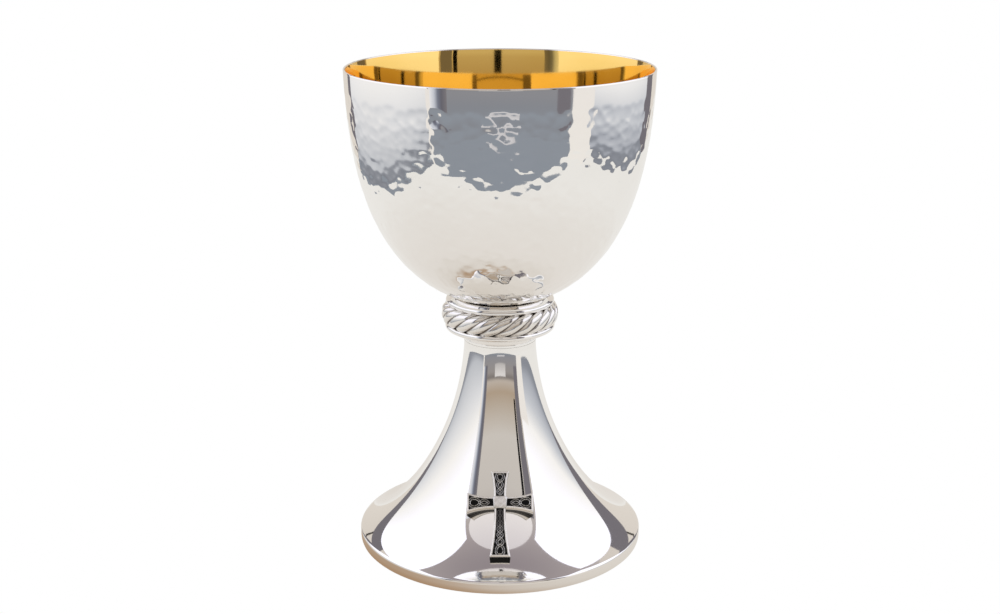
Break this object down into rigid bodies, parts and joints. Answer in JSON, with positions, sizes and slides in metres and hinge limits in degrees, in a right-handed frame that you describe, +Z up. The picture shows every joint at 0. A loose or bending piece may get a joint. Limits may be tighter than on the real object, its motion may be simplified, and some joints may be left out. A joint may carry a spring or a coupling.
{
  "type": "ciborium vessel",
  "caption": "Open stemmed altar cup: hammered silver bowl with a smooth gilt inside, rope-twist knop, and a flared hollow foot carrying a small flat cross.",
  "frame": {"origin": "centre of the foot's underside, on the surface the cup stands on", "axes": "+Z up along the cup's axis; -Y towards the front, where the cross is; +X to the right seen from the front"},
  "size_m": [0.116, 0.116, 0.1873],
  "materials": {
    "hammered_silver": "silver plate over planished metal, bright polished, shallow hammer marks below a smooth band at the lip",
    "polished_silver": "silver plate, mirror polished, faint spinning lines and fine handling scratches",
    "cast_silver": "silver-plated casting, polished on the strands, brown tarnish left in the grooves",
    "gilt": "gold plate, mirror polished",
    "antiqued_silver": "cast silver, blackened in the field and on the sides, rubbed bright on the border, the knotwork and the centre",
    "plated_inside": "turned brass, thinly plated, left dull where it isn't seen",
    "fastener_steel": "zinc-plated steel, satin"
  },
  "bodies": {
    "root": {"bowl_shell": "hammered_silver", "inner_cup": "gilt", "bowl_boss": "plated_inside", "upper_collar": "polished_silver", "rope_ring": "cast_silver", "knop_core": "plated_inside", "lower_collar": "polished_silver", "foot_shell": "polished_silver", "foot_ring": "plated_inside", "stem_cap": "plated_inside", "tie_rod": "fastener_steel", "flat_washer": "fastener_steel", "lock_washer": "fastener_steel", "hex_nut": "fastener_steel", "cross_body": "antiqued_silver", "cross_stud_upper": "fastener_steel", "cross_stud_lower": "fastener_steel", "cross_clip_upper": "fastener_steel", "cross_clip_lower": "fastener_steel"}
  },
  "joints": []
}
